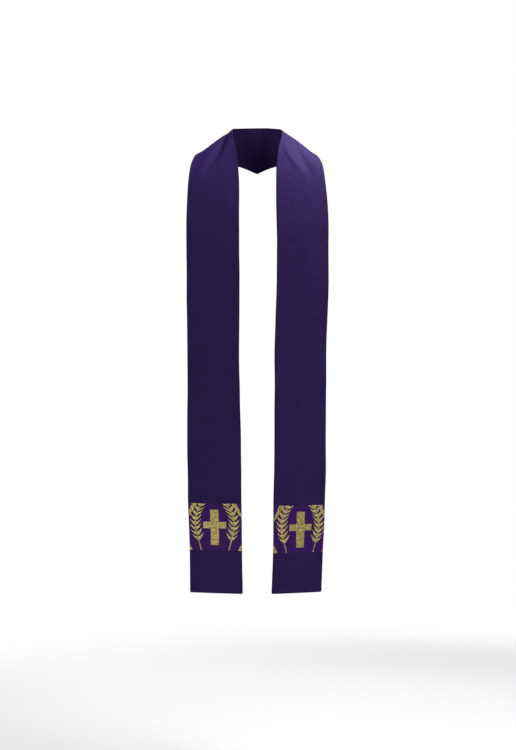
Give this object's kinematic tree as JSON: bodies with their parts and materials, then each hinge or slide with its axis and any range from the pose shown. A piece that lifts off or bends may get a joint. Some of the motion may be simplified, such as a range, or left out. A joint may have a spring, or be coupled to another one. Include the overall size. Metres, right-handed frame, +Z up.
{
  "type": "priest's stole",
  "caption": "Long violet cloth stole worn round the neck, two flat panels hanging in front, each crossed near its hem by a brocade band with a gold cross and wheat ears.",
  "frame": {"origin": "top of the centre back seam, on the nape, where the wearer's neck holds the stole up", "axes": "+Z up, -Y the wearer's front, +X the wearer's left"},
  "size_m": [0.3515, 0.2363, 1.1684],
  "materials": {
    "violet_cloth": "matte plain weave with a soft sheen",
    "brocade": "satin violet ground woven with gold",
    "gold_thread": "metallic gold thread"
  },
  "bodies": {
    "root": {"right_panel": "violet_cloth", "right_band": "brocade", "right_end": "violet_cloth", "left_panel": "violet_cloth", "left_band": "brocade", "left_end": "violet_cloth"}
  },
  "joints": []
}
